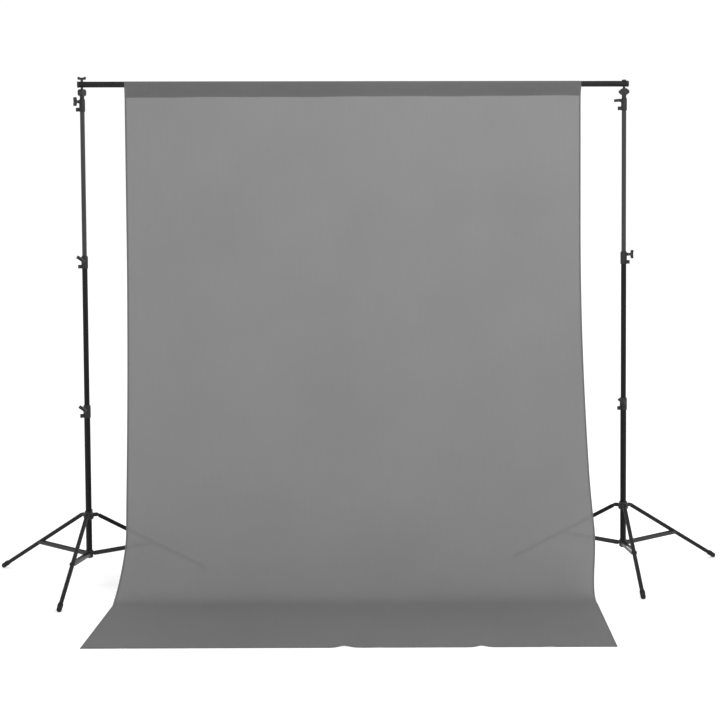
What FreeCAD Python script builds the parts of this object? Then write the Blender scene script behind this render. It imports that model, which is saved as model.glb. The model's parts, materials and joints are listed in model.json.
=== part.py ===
import FreeCAD, Part
import math
import os

import Sketcher

# Background support system: two telescopic light stands, a three-piece crossbar and a cloth backdrop.
# Millimetres, +Z up. The floor is Z = 0, the front is -Y, the crossbar runs along X.

os.makedirs("parts", exist_ok=True)
doc = FreeCAD.newDocument("BackgroundSupport")
sheet = doc.addObject("Spreadsheet::Sheet", "Dimensions")

DIMENSIONS = {
    # set-out of the whole kit
    "bar_centre_x": -34.9,
    "bar_centre_y": 564.75,
    "stand_spacing": 2951.0,
    "left_turn": 7.5,
    "right_turn": 4.0,
    # telescopic column
    "tube_wall": 1.5,
    "base_tube_od": 33.0,
    "riser_one_od": 29.0,
    "riser_two_od": 25.0,
    "riser_three_od": 21.0,
    "column_foot": 137.0,
    "lower_lock_height": 936.0,
    "middle_lock_height": 1746.0,
    "upper_lock_height": 2590.0,
    "riser_insertion": 88.0,
    "riser_three_bottom": 1930.0,
    "riser_three_top": 2630.5,
    "slide_clearance": 0.3,
    "fit_clearance": 0.1,
    # lock collars and their T-knobs
    "lock_length": 68.0,
    "lock_wall": 3.5,
    "lock_lip": 30.0,
    "knob_below_top": 15.0,
    "boss_diameter": 18.0,
    "boss_reach": 9.0,
    "ear_length": 18.0,
    "ear_turn": 45.0,
    "ear_width": 15.0,
    "ear_height": 20.0,
    "screw_diameter": 8.0,
    "knob_gap": 1.0,
    "knob_neck_diameter": 15.0,
    "knob_neck_length": 13.0,
    "knob_head_length": 47.0,
    "knob_head_width": 15.0,
    "knob_head_depth": 15.0,
    # sliding hub and fixed base collar
    "hub_height": 368.0,
    "hub_length": 44.0,
    "hub_diameter": 54.0,
    "leg_pivot_radius": 48.0,
    "fork_gap": 10.8,
    "fork_cheek": 5.0,
    "fork_radius": 9.0,
    "collar_height": 156.5,
    "collar_length": 38.0,
    "collar_diameter": 43.0,
    "brace_pivot_radius": 28.0,
    "collar_ear_width": 22.4,
    "collar_ear_radius": 5.0,
    "pin_diameter": 6.0,
    "pin_clearance": 0.05,
    "pin_head_diameter": 10.0,
    "pin_head_depth": 1.6,
    # legs, braces and feet
    "foot_radius_on_floor": 662.0,
    "leg_diameter": 22.0,
    "tongue_width": 16.0,
    "tongue_thickness": 10.0,
    "tongue_length": 14.0,
    "plug_length": 30.0,
    "brace_fraction": 0.53,
    "boss_on_leg": 14.0,
    "strap_width": 18.0,
    "strap_thickness": 2.0,
    "strap_gap": 23.2,
    "foot_diameter": 27.0,
    "foot_length": 44.0,
    "foot_flat": 0.8,
    # head of the stand
    "head_bottom": 2640.0,
    "head_waist": 2654.0,
    "head_shoulder": 2662.0,
    "head_top": 2677.0,
    "head_length": 60.0,
    "head_crown": 22.0,
    "head_width": 26.0,
    "seat_diameter": 14.0,
    "stud_diameter": 9.5,
    "left_stud_above_bar": 16.0,
    "right_stud_above_bar": 5.5,
    # crossbar
    "bar_height": 2701.5,
    "bar_length": 3000.0,
    "bar_diameter": 32.0,
    "bar_middle_length": 1000.0,
    "bar_joint_length": 60.0,
    "cap_diameter": 34.5,
    "cap_width": 9.0,
    "cap_plug": 14.0,
    # nuts on the studs
    "wing_hub_diameter": 15.0,
    "wing_hub_height": 9.0,
    "wing_span": 45.0,
    "wing_height": 17.0,
    "wing_thickness": 7.0,
    "thumb_diameter": 24.0,
    "thumb_height": 6.0,
    # cloth
    "cloth_thickness": 1.0,
    "cloth_width": 2482.0,
    "cloth_offset": 7.0,
    "pocket_bottom": 2634.0,
    "pocket_radius": 16.6,
    "drop_straight": 1950.0,
    "drop_radius": 4000.0,
    "bend_height": 140.0,
    "middle_band_top": 2390.0,
    "middle_band_bottom": 1220.0,
    "floor_overlap": 40.0,
    "front_left_x": -1384.0,
    "front_left_y": -1359.0,
    "front_right_x": 1095.5,
    "front_right_y": -1546.0,
}


class Size:
    """A length or angle with the spreadsheet formula it comes from."""

    def __init__(self, value, formula):
        self.value = value
        self.formula = formula

    def _with(self, other, sign, value):
        text = other.formula if isinstance(other, Size) else f"({other})"
        return Size(value, f"({self.formula} {sign} {text})")

    def __add__(self, other):
        return self._with(other, "+", self.value + number(other))

    def __sub__(self, other):
        return self._with(other, "-", self.value - number(other))

    def __mul__(self, other):
        return self._with(other, "*", self.value * number(other))

    def __truediv__(self, other):
        return self._with(other, "/", self.value / number(other))

    def __neg__(self):
        return Size(-self.value, f"(-1 * {self.formula})")


def number(item):
    return item.value if isinstance(item, Size) else float(item)


for row, (alias, amount) in enumerate(DIMENSIONS.items(), start=1):
    sheet.set(f"A{row}", alias.replace("_", " "))
    sheet.set(f"B{row}", f"{amount}")
    sheet.setAlias(f"B{row}", alias)
doc.recompute()


class Dims:
    """Gives each spreadsheet value as a Size, by its alias."""

    def __getattr__(self, alias):
        return Size(DIMENSIONS[alias], f"Dimensions.{alias}")


D = Dims()
PARTS = []
COLLAR_PINS = []


# ---------------------------------------------------------------- modelling helpers


def new_body(label, place=None, own_file=True):
    body = doc.addObject("PartDesign::Body", label)
    body.Label = label
    body.AllowCompound = True
    if place is not None:
        body.Placement = place
    if own_file:
        PARTS.append(body)
    return body


def origin_feature(body, role):
    return next(f for f in body.Origin.OriginFeatures if f.Role == role)


def new_sketch(body, plane, offset=0.0, turn=0.0):
    """A sketch on one of the body's planes, moved along its normal and turned about it."""
    sketch = body.newObject("Sketcher::SketchObject", body.Name + "_sketch")
    sketch.AttachmentSupport = (origin_feature(body, plane), [""])
    sketch.MapMode = "FlatFace"
    sketch.AttachmentOffset = FreeCAD.Placement(
        FreeCAD.Vector(0, 0, number(offset)), FreeCAD.Rotation(turn, 0, 0)
    )
    if isinstance(offset, Size):
        sketch.setExpression("AttachmentOffset.Base.z", offset.formula)
    return sketch


def hold(sketch, constraint, size):
    """Adds a driving constraint whose value follows the spreadsheet."""
    index = sketch.addConstraint(constraint)
    if isinstance(size, Size):
        sketch.setExpression(f"Constraints[{index}]", size.formula)


def pin_point(sketch, geometry, corner, x, y):
    hold(sketch, Sketcher.Constraint("DistanceX", -1, 1, geometry, corner, number(x)), x)
    hold(sketch, Sketcher.Constraint("DistanceY", -1, 1, geometry, corner, number(y)), y)


def circle(sketch, x, y, diameter):
    centre = FreeCAD.Vector(number(x), number(y), 0)
    edge = sketch.addGeometry(
        Part.Circle(centre, FreeCAD.Vector(0, 0, 1), number(diameter) / 2), False
    )
    pin_point(sketch, edge, 3, x, y)
    hold(sketch, Sketcher.Constraint("Diameter", edge, number(diameter)), diameter)


def arc_between(start, end, radius):
    """The arc from start to end; a positive radius turns left, a negative one right."""
    chord = end.sub(start)
    middle = (start + end).multiply(0.5)
    side = FreeCAD.Vector(-chord.y, chord.x, 0).normalize()
    rise = math.sqrt(max(radius * radius - chord.Length**2 / 4, 0.0))
    centre = middle + side.multiply(rise if radius > 0 else -rise)
    a = math.atan2(start.y - centre.y, start.x - centre.x)
    b = math.atan2(end.y - centre.y, end.x - centre.x)
    ring = Part.Circle(centre, FreeCAD.Vector(0, 0, 1), abs(radius))
    if radius > 0:
        return Part.ArcOfCircle(ring, a, b if b > a else b + 2 * math.pi), 1
    return Part.ArcOfCircle(ring, b, a if a > b else a + 2 * math.pi), 2


def half_way(a, b):
    return (b + a) / 2 if isinstance(b, Size) else (a + b) / 2


def hold_arc(sketch, edge, start, end, radius):
    """Fixes an arc between two held ends: by its radius, or a half circle by its centre."""
    chord = math.hypot(number(end[0]) - number(start[0]), number(end[1]) - number(start[1]))
    if abs(2 * abs(number(radius)) - chord) > 1e-6:
        size = -radius if number(radius) < 0 else radius
        hold(sketch, Sketcher.Constraint("Radius", edge, number(size)), size)
    elif abs(number(end[0]) - number(start[0])) < chord / 2:
        middle = half_way(start[0], end[0])
        centre = Sketcher.Constraint("DistanceX", -1, 1, edge, 3, number(middle))
        hold(sketch, centre, middle)
    else:
        middle = half_way(start[1], end[1])
        centre = Sketcher.Constraint("DistanceY", -1, 1, edge, 3, number(middle))
        hold(sketch, centre, middle)


def outline(sketch, corners):
    """Closes the corners (x, y) with lines; (x, y, radius) is reached by an arc."""
    points = [FreeCAD.Vector(number(c[0]), number(c[1]), 0) for c in corners]
    edges = []
    for i, corner in enumerate(corners):
        start = points[i - 1]
        if len(corner) == 3:
            arc, first = arc_between(start, points[i], number(corner[2]))
            edge = sketch.addGeometry(arc, False)
            edges.append((edge, first, 3 - first))
            hold_arc(sketch, edge, corners[i - 1], corner, corner[2])
        else:
            edge = sketch.addGeometry(Part.LineSegment(start, points[i]), False)
            edges.append((edge, 1, 2))
    for i, (edge, first, last) in enumerate(edges):
        before = edges[i - 1]
        sketch.addConstraint(
            Sketcher.Constraint("Coincident", before[0], before[2], edge, first)
        )
        pin_point(sketch, edge, last, corners[i][0], corners[i][1])


def set_size(feature, name, size):
    setattr(feature, name, number(size))
    if isinstance(size, Size):
        feature.setExpression(name, size.formula)


def pad(body, sketch, length, midplane=False, reverse=False):
    feature = body.newObject("PartDesign::Pad", body.Name + "_pad")
    feature.Profile = sketch
    set_size(feature, "Length", length)
    feature.Midplane = midplane
    feature.Reversed = reverse
    sketch.Visibility = False
    doc.recompute()
    return feature


def pocket(body, sketch, length, midplane=True, reverse=False):
    before = body.Shape.Volume
    feature = body.newObject("PartDesign::Pocket", body.Name + "_pocket")
    feature.Profile = sketch
    set_size(feature, "Length", length)
    feature.Midplane = midplane
    feature.Reversed = reverse
    sketch.Visibility = False
    doc.recompute()
    if body.Shape.Volume > before - 1e-3:
        raise RuntimeError(f"the pocket in {body.Label} takes nothing away")
    return feature


def revolve(body, sketch):
    feature = body.newObject("PartDesign::Revolution", body.Name + "_turned")
    feature.Profile = sketch
    feature.ReferenceAxis = (sketch, ["V_Axis"])
    feature.Angle = 360.0
    sketch.Visibility = False
    doc.recompute()
    return feature


def around(body, features, count=3):
    """Repeats the features about the body's own Z axis."""
    pattern = body.newObject("PartDesign::PolarPattern", body.Name + "_pattern")
    pattern.Originals = features
    pattern.Axis = (origin_feature(body, "Z_Axis"), [""])
    pattern.Angle = 360.0
    pattern.Occurrences = count
    body.Tip = pattern
    doc.recompute()
    return pattern


def turned(label, corners, place=None):
    """A body turned about Z from its half outline (radius, height)."""
    body = new_body(label, place)
    sketch = new_sketch(body, "XZ_Plane")
    outline(sketch, corners)
    revolve(body, sketch)
    return body


def tube_outline(outer, inner, bottom, top):
    return [
        (inner / 2, bottom),
        (outer / 2, bottom),
        (outer / 2, top),
        (inner / 2, top),
    ]


def cross_cylinder(body, x, z, diameter, length, cut=False):
    """A round bar or hole along the body's Y, centred on Y = 0."""
    sketch = new_sketch(body, "XZ_Plane")
    circle(sketch, x, z, diameter)
    return pocket(body, sketch, length) if cut else pad(body, sketch, length, midplane=True)


def stadium(sketch, low, high, width):
    """An upright slot shape between two end centres."""
    half = width / 2
    outline(sketch, [(half, low, half), (half, high), (-half, high, half), (-half, low)])


# ---------------------------------------------------------------- where things stand


def turn_z(degrees):
    return FreeCAD.Rotation(FreeCAD.Vector(0, 0, 1), degrees)


def turn_y(degrees):
    return FreeCAD.Rotation(FreeCAD.Vector(0, 1, 0), degrees)


def turn_x(degrees):
    return FreeCAD.Rotation(FreeCAD.Vector(1, 0, 0), degrees)


def val(alias):
    return DIMENSIONS[alias]


leg_run = val("foot_radius_on_floor") - val("leg_pivot_radius")
foot_centre_z = val("foot_diameter") / 2 - val("foot_flat")
leg_drop = val("hub_height") - foot_centre_z
LEG_LENGTH = math.hypot(leg_run, leg_drop)
LEG_TILT = math.degrees(math.atan2(leg_run, leg_drop))
BRACE_ALONG = val("brace_fraction") * LEG_LENGTH
joint_r = val("leg_pivot_radius") + BRACE_ALONG * math.sin(math.radians(LEG_TILT))
joint_z = val("hub_height") - BRACE_ALONG * math.cos(math.radians(LEG_TILT))
brace_run = joint_r - val("brace_pivot_radius")
brace_rise = joint_z - val("collar_height")
BRACE_LENGTH = math.hypot(brace_run, brace_rise)
BRACE_TILT = math.degrees(math.atan2(brace_run, brace_rise))

ARMS = {"front": 0.0, "outer": 120.0, "inner": -120.0}
# Knob directions run counter-clockwise from +X seen from above; the second angle rolls the T.
STANDS = {
    "left": {
        "side": -1,
        "turn": val("left_turn"),
        "head_turn": 58.0,
        "stud_above_bar": D.left_stud_above_bar,
        "knobs": {"lower": (248.0, 58.0), "middle": (248.0, 58.0), "upper": (219.0, 0.0)},
    },
    "right": {
        "side": 1,
        "turn": val("right_turn"),
        "head_turn": 0.0,
        "stud_above_bar": D.right_stud_above_bar,
        "knobs": {"lower": (248.0, 58.0), "middle": (0.0, 0.0), "upper": (204.0, 90.0)},
    },
}


def stand_point(stand, z=0.0):
    x = val("bar_centre_x") + stand["side"] * val("stand_spacing") / 2
    return FreeCAD.Vector(x, val("bar_centre_y"), z)


def arm_angle(stand, arm):
    """Direction of an arm, counter-clockwise from +X seen from above."""
    return -90.0 - (stand["turn"] - stand["side"] * ARMS[arm])


def on_arm(stand, arm, radius, z, tilt=0.0):
    angle = arm_angle(stand, arm)
    offset = turn_z(angle).multVec(FreeCAD.Vector(radius, 0, z))
    return FreeCAD.Placement(
        stand_point(stand) + offset, turn_z(angle).multiply(turn_y(tilt))
    )


def facing(stand, angle, z):
    return FreeCAD.Placement(stand_point(stand, z), turn_z(angle))


def bore(outer):
    return outer - D.tube_wall * 2


# ---------------------------------------------------------------- pieces of a stand


def make_base_tube(name, stand):
    corners = tube_outline(
        D.base_tube_od,
        bore(D.base_tube_od),
        D.column_foot,
        D.lower_lock_height + D.lock_length / 2 - D.lock_lip,
    )
    turned(name, corners, facing(stand, 0.0, 0.0))


def make_riser(name, stand, outer, bottom, top):
    turned(name, tube_outline(outer, bore(outer), bottom, top), facing(stand, 0.0, 0.0))


def make_lock(name, stand, height, lower_tube, upper_tube, angle):
    """A clamp collar: it seats on the lower tube, guides the upper one and takes the knob screw."""
    body = new_body(name, facing(stand, angle, 0.0))
    outer = lower_tube / 2 + D.lock_wall
    seat = lower_tube / 2 + D.fit_clearance / 2
    guide = upper_tube / 2 + D.slide_clearance
    low = height - D.lock_length / 2
    high = height + D.lock_length / 2
    sketch = new_sketch(body, "XZ_Plane")
    outline(
        sketch,
        [
            (seat, low),
            (outer - 1.5, low),
            (outer, low + 1.5),
            (outer, high - 5),
            (outer - 3, high),
            (guide, high),
            (guide, high - D.lock_lip + 0.5),
            (seat, high - D.lock_lip + 0.5),
        ],
    )
    revolve(body, sketch)
    # the clamp ear below the knob, turned away from it
    ear = new_sketch(body, "XY_Plane", low + 1.5, -val("ear_turn"))
    half = D.ear_width / 2
    reach = outer + D.ear_length
    outline(
        ear,
        [
            (outer - 2, -half),
            (reach - 4, -half),
            (reach, -half + 4, 4),
            (reach, half - 4),
            (reach - 4, half, 4),
            (outer - 2, half),
        ],
    )
    pad(body, ear, D.ear_height)
    # the threaded boss for the knob, then its hole
    boss = new_sketch(body, "YZ_Plane", guide + 1)
    circle(boss, 0, high - D.knob_below_top, D.boss_diameter)
    pad(body, boss, outer + D.boss_reach - guide - 1)
    hole = new_sketch(body, "YZ_Plane", guide - 2)
    circle(hole, 0, high - D.knob_below_top, D.screw_diameter + D.pin_clearance * 2)
    pocket(body, hole, outer + D.boss_reach - guide + 6, midplane=False, reverse=True)
    return body


def make_knob(name, stand, z, tube, boss_face, angle, roll):
    """A T-knob: screw, round neck and a rounded cross bar, on the body's own X axis."""
    place = FreeCAD.Placement(stand_point(stand, z), turn_z(angle).multiply(turn_x(roll)))
    body = new_body(name, place)
    screw_start = tube / 2 + 0.4
    face = boss_face + D.knob_gap
    screw = new_sketch(body, "YZ_Plane", screw_start)
    circle(screw, 0, 0, D.screw_diameter)
    pad(body, screw, face - screw_start + 3)
    neck = new_sketch(body, "YZ_Plane", face)
    circle(neck, 0, 0, D.knob_neck_diameter)
    pad(body, neck, D.knob_neck_length)
    head = new_sketch(body, "XZ_Plane")
    back = face + D.knob_neck_length - 2
    front = back + D.knob_head_depth
    half = D.knob_head_length / 2
    outline(
        head,
        [
            (back + 3, -half),
            (front - 4, -half),
            (front, -half + 4, 4),
            (front - 2.5, 0),
            (front, half - 4),
            (front - 4, half, 4),
            (back + 3, half),
            (back, half - 9),
            (back, -half + 9),
        ],
    )
    pad(body, head, D.knob_head_width, midplane=True)


def make_hub(name, stand):
    body = new_body(name, facing(stand, arm_angle(stand, "front"), val("hub_height")))
    half = D.hub_length / 2
    inner = D.base_tube_od / 2 + D.slide_clearance
    outer = D.hub_diameter / 2
    sketch = new_sketch(body, "XZ_Plane")
    outline(
        sketch,
        [
            (inner, -half),
            (outer - 5, -half),
            (outer, -half + 5),
            (outer, half - 12),
            (outer - 5, half - 7),
            (outer - 5, half),
            (inner, half),
        ],
    )
    revolve(body, sketch)
    cheek = new_sketch(body, "XZ_Plane")
    reach = D.leg_pivot_radius
    outline(
        cheek,
        [
            (outer - 4, -D.fork_radius),
            (reach, -D.fork_radius),
            (reach, D.fork_radius, D.fork_radius),
            (outer - 4, D.fork_radius),
        ],
    )
    cheeks = pad(body, cheek, D.fork_gap + D.fork_cheek * 2, midplane=True)
    around(body, [cheeks])
    slot = new_sketch(body, "XZ_Plane")
    outline(
        slot,
        [
            (outer + 1, -half),
            (reach + D.fork_radius * 2, -half),
            (reach + D.fork_radius * 2, half),
            (outer + 1, half),
        ],
    )
    slots = pocket(body, slot, D.fork_gap)
    around(body, [slots])
    hole = new_sketch(body, "XZ_Plane")
    circle(hole, reach, 0, D.pin_diameter + D.pin_clearance * 2)
    holes = pocket(body, hole, D.fork_gap + D.fork_cheek * 2 + 4)
    around(body, [holes])
    # the boss and hole of the hub's own lock screw, at the back between the rear legs
    boss = new_sketch(body, "YZ_Plane", -inner - 2)
    circle(boss, 0, 0, D.boss_diameter)
    pad(body, boss, outer - inner + D.boss_reach - 4, reverse=True)
    screw = new_sketch(body, "YZ_Plane", -inner + 3)
    circle(screw, 0, 0, D.screw_diameter + D.pin_clearance * 2)
    pocket(body, screw, outer - inner + D.boss_reach + 8, midplane=False)


def make_pins(body, radius, z, inner_span):
    """Three headed pins about the body's Z axis."""
    pin = new_sketch(body, "XZ_Plane")
    circle(pin, radius, z, D.pin_diameter)
    shank = pad(body, pin, inner_span + D.pin_head_depth * 2, midplane=True)
    features = [shank]
    for side in (-1, 1):
        start = (inner_span / 2) * side
        head = new_sketch(body, "XZ_Plane", -start)
        circle(head, radius, z, D.pin_head_diameter)
        features.append(pad(body, head, D.pin_head_depth, reverse=side > 0))
    around(body, features)


def make_hub_pins(name, stand):
    body = new_body(name, facing(stand, arm_angle(stand, "front"), val("hub_height")))
    span = D.fork_gap + D.fork_cheek * 2 + 0.4
    make_pins(body, D.leg_pivot_radius, 0, span)


def make_base_collar(name, stand):
    body = new_body(name, facing(stand, arm_angle(stand, "front"), 0.0))
    inner = D.base_tube_od / 2 + D.fit_clearance / 2
    outer = D.collar_diameter / 2
    low = D.collar_height - D.collar_length / 2
    high = D.collar_height + D.collar_length / 2
    sketch = new_sketch(body, "XZ_Plane")
    outline(
        sketch,
        [
            (inner, low),
            (outer - 2, low),
            (outer, low + 2),
            (outer, high - 2),
            (outer - 2, high),
            (inner, high),
        ],
    )
    revolve(body, sketch)
    ear = new_sketch(body, "XZ_Plane")
    radius = D.collar_ear_radius
    outline(
        ear,
        [
            (outer - 3, D.collar_height - radius),
            (D.brace_pivot_radius, D.collar_height - radius),
            (D.brace_pivot_radius, D.collar_height + radius, radius),
            (outer - 3, D.collar_height + radius),
        ],
    )
    ears = pad(body, ear, D.collar_ear_width, midplane=True)
    around(body, [ears])
    hole = new_sketch(body, "XZ_Plane")
    circle(hole, D.brace_pivot_radius, D.collar_height, D.pin_diameter + D.pin_clearance * 2)
    holes = pocket(body, hole, D.collar_ear_width + 8)
    around(body, [holes])


def make_base_collar_pins(name, stand):
    body = new_body(name, facing(stand, arm_angle(stand, "front"), 0.0), own_file=False)
    span = D.strap_gap + D.strap_thickness * 2 + 0.6
    make_pins(body, D.brace_pivot_radius, D.collar_height, span)
    return body


def make_leg(name, stand, arm):
    """A tube with a flat tongue on the hub pin and a flush cross rivet for the brace."""
    place = on_arm(stand, arm, val("leg_pivot_radius"), val("hub_height"), -LEG_TILT)
    body = new_body(name, place)
    sketch = new_sketch(body, "XZ_Plane")
    outline(
        sketch,
        tube_outline(
            D.leg_diameter,
            bore(D.leg_diameter),
            -LEG_LENGTH + 4,
            -D.tongue_length,
        ),
    )
    revolve(body, sketch)
    plug = new_sketch(body, "XY_Plane", -D.tongue_length - D.plug_length)
    circle(plug, 0, 0, D.leg_diameter - D.tube_wall)
    pad(body, plug, D.plug_length)
    tongue = new_sketch(body, "XZ_Plane")
    half = D.tongue_width / 2
    outline(
        tongue,
        [
            (-half, 0),
            (-half, -D.tongue_length - 4),
            (half, -D.tongue_length - 4),
            (half, 0),
        ],
    )
    pad(body, tongue, D.tongue_thickness, midplane=True)
    cross_cylinder(body, 0, 0, D.tongue_width, D.tongue_thickness)
    cross_cylinder(body, 0, 0, D.pin_diameter + D.pin_clearance * 2, D.tongue_width, cut=True)
    cross_cylinder(body, 0, -BRACE_ALONG, D.boss_on_leg, D.leg_diameter + 0.6)


def make_foot(name, stand, arm):
    """A rubber boot with a rounded end, flat where it stands on the floor."""
    place = on_arm(stand, arm, val("leg_pivot_radius"), val("hub_height"), -LEG_TILT)
    body = new_body(name, place)
    radius = D.foot_diameter / 2
    inner = D.leg_diameter / 2 + D.fit_clearance / 2
    sketch = new_sketch(body, "XZ_Plane")
    outline(
        sketch,
        [
            (inner, -LEG_LENGTH + 3.8),
            (inner, D.foot_length - LEG_LENGTH),
            (radius - 2, D.foot_length - LEG_LENGTH),
            (radius, D.foot_length - LEG_LENGTH - 4),
            (radius, -LEG_LENGTH),
            (0, -radius - LEG_LENGTH, -radius),
            (0, -LEG_LENGTH + 3.8),
        ],
    )
    revolve(body, sketch)
    # the plane of the floor, seen in the tilted frame of the leg
    ground = new_sketch(body, "XZ_Plane")
    tilt = math.radians(LEG_TILT)
    depth = number(radius) - val("foot_flat")
    middle = FreeCAD.Vector(-depth * math.sin(tilt), -LEG_LENGTH - depth * math.cos(tilt), 0)
    along = FreeCAD.Vector(math.cos(tilt), -math.sin(tilt), 0)
    down = FreeCAD.Vector(-math.sin(tilt), -math.cos(tilt), 0)
    reach = number(radius)
    corners = []
    for a, b in ((-1, 0), (1, 0), (1, 1), (-1, 1)):
        point = middle + along * (a * reach) + down * (b * reach)
        corners.append((point.x, point.y))
    outline(ground, corners)
    pocket(body, ground, D.foot_diameter * 2)


def make_brace(name, stand, arm):
    """Two flat straps either side of the leg, with rivet heads on their outer faces."""
    place = on_arm(stand, arm, val("brace_pivot_radius"), val("collar_height"), BRACE_TILT)
    body = new_body(name, place)
    for side in (-1, 1):
        near = D.strap_gap / 2
        strap = new_sketch(body, "XZ_Plane", near * side)
        stadium(strap, 0, BRACE_LENGTH, D.strap_width)
        pad(body, strap, D.strap_thickness, reverse=side < 0)
        rivet = new_sketch(body, "XZ_Plane", (near + D.strap_thickness - 0.5) * side)
        circle(rivet, 0, BRACE_LENGTH, D.pin_head_diameter)
        pad(body, rivet, D.pin_head_depth + 0.5, reverse=side < 0)
    hole = new_sketch(body, "XZ_Plane")
    circle(hole, 0, 0, D.pin_diameter + D.pin_clearance * 2)
    pocket(body, hole, D.strap_gap * 2)


def make_head(name, stand):
    """The plastic head that closes the top tube and carries the crossbar."""
    body = new_body(name, facing(stand, stand["head_turn"], 0.0))
    inner = D.riser_three_od / 2 + D.fit_clearance / 2
    skirt = D.riser_three_top - 6
    bolt = D.stud_diameter / 2 + D.pin_clearance
    seat_top = D.bar_height - D.bar_diameter / 2 - 0.3
    sketch = new_sketch(body, "XZ_Plane")
    outline(
        sketch,
        [
            (inner, skirt),
            (inner + 1.2, skirt),
            (D.head_width / 2, D.head_bottom + 4),
            (D.head_width / 2, D.head_top - 2),
            (D.seat_diameter / 2, D.head_top),
            (D.seat_diameter / 2, seat_top),
            (bolt, seat_top),
            (bolt, D.head_bottom),
            (0, D.head_bottom),
            (0, D.riser_three_top + 0.2),
            (inner, D.riser_three_top + 0.2),
        ],
    )
    revolve(body, sketch)
    # the cross block, with sloping shoulders above and below
    block = new_sketch(body, "XY_Plane", D.head_bottom + 1)
    half = D.head_width / 2
    reach = D.head_length / 2
    outline(
        block,
        [
            (reach - half, -half),
            (reach - half, half, half),
            (half - reach, half),
            (half - reach, -half, half),
        ],
    )
    pad(body, block, D.head_top - D.head_bottom - 2)
    over = new_sketch(body, "XZ_Plane")
    outline(
        over,
        [
            (D.head_crown / 2, D.head_top),
            (D.head_crown / 2, D.head_top + 2),
            (reach + 2, D.head_top + 2),
            (reach + 2, D.head_shoulder),
            (reach, D.head_shoulder),
        ],
    )
    upper = pocket(body, over, D.head_width + 2)
    around(body, [upper], 2)
    under = new_sketch(body, "XZ_Plane")
    outline(
        under,
        [
            (reach, D.head_waist),
            (reach + 2, D.head_waist),
            (reach + 2, D.head_bottom - 2),
            (half + 1, D.head_bottom - 2),
            (half + 1, D.head_bottom + 1),
        ],
    )
    lower = pocket(body, under, D.head_width + 2)
    around(body, [lower], 2)
    hole = new_sketch(body, "XY_Plane", D.head_bottom)
    circle(hole, 0, 0, D.stud_diameter + D.pin_clearance * 2)
    pocket(body, hole, D.head_top - D.head_bottom + 20, midplane=False, reverse=True)


def make_stud(name, stand):
    top = D.bar_height + D.bar_diameter / 2 + stand["stud_above_bar"]
    corners = [
        (0, D.head_bottom + 0.2),
        (D.stud_diameter / 2, D.head_bottom + 0.2),
        (D.stud_diameter / 2, top - 1),
        (D.stud_diameter / 2 - 1, top),
        (0, top),
    ]
    turned(name, corners, facing(stand, 0.0, 0.0))


def make_wing_nut(name, stand):
    body = new_body(name, facing(stand, 0.0, 0.0))
    low = D.bar_height + D.bar_diameter / 2 + 0.3
    sketch = new_sketch(body, "XY_Plane", low)
    circle(sketch, 0, 0, D.wing_hub_diameter)
    pad(body, sketch, D.wing_hub_height + 11)
    wing = new_sketch(body, "XZ_Plane")
    start = low + D.wing_hub_height
    half = D.wing_span / 2
    outline(
        wing,
        [
            (half - 6, start),
            (half, start + 6, 6),
            (half, start + D.wing_height - 6),
            (half - 6, start + D.wing_height, 6),
            (D.wing_hub_diameter / 2, start + D.wing_height - 5),
            (-D.wing_hub_diameter / 2, start + D.wing_height - 5),
            (-half + 6, start + D.wing_height),
            (-half, start + D.wing_height - 6, 6),
            (-half, start + 6),
            (-half + 6, start, 6),
        ],
    )
    pad(body, wing, D.wing_thickness, midplane=True)
    hole = new_sketch(body, "XY_Plane", low - 1)
    circle(hole, 0, 0, D.stud_diameter + D.pin_clearance * 2)
    pocket(body, hole, stand["stud_above_bar"] + 1.5, midplane=False, reverse=True)


def make_thumb_nut(name, stand):
    """A low round nut with a knurled rim."""
    low = D.bar_height + D.bar_diameter / 2 + 0.3
    radius = D.thumb_diameter / 2
    inner = D.stud_diameter / 2 + D.pin_clearance
    top = low + D.thumb_height
    body = turned(
        name,
        [
            (inner, low),
            (radius - 1, low),
            (radius, low + 1),
            (radius, top - 1.5),
            (radius - 1.5, top),
            (inner, top),
        ],
        facing(stand, 0.0, 0.0),
    )
    notch = new_sketch(body, "XY_Plane", low - 1)
    circle(notch, radius + 0.8, 0, 3)
    notches = pocket(body, notch, D.thumb_height + 4, midplane=False, reverse=True)
    around(body, [notches], 16)


LEVELS = {
    "lower": (D.lower_lock_height, D.base_tube_od, D.riser_one_od),
    "middle": (D.middle_lock_height, D.riser_one_od, D.riser_two_od),
    "upper": (D.upper_lock_height, D.riser_two_od, D.riser_three_od),
}

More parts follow.
